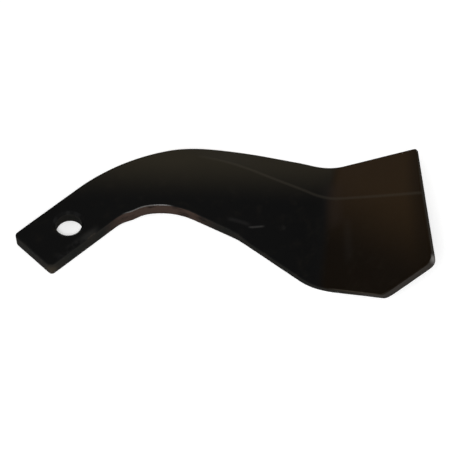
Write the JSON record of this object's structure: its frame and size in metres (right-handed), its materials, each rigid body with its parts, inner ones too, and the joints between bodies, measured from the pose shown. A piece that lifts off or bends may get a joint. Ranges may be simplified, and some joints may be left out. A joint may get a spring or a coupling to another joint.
{
  "type": "rotary tiller blade",
  "caption": "Black painted steel tiller blade: flat shank with a bolt hole, curved neck, thinned leg and a wide rolled scoop with a cut corner and a bevelled cutting edge.",
  "frame": {"origin": "on the back face of the shank, on its centreline, 12 mm from the bolt hole's axis towards the neck", "axes": "+X along the shank from its square end towards the neck, +Y across the shank towards the cutting edge, +Z out of the shank's front face, the side that the scoop is rolled to"},
  "size_m": [0.1446, 0.1538, 0.0423],
  "materials": {
    "black_paint": "semi-gloss near-black paint over forged steel, a little thin along the edges"
  },
  "bodies": {
    "root": {"blade": "black_paint"}
  },
  "joints": []
}
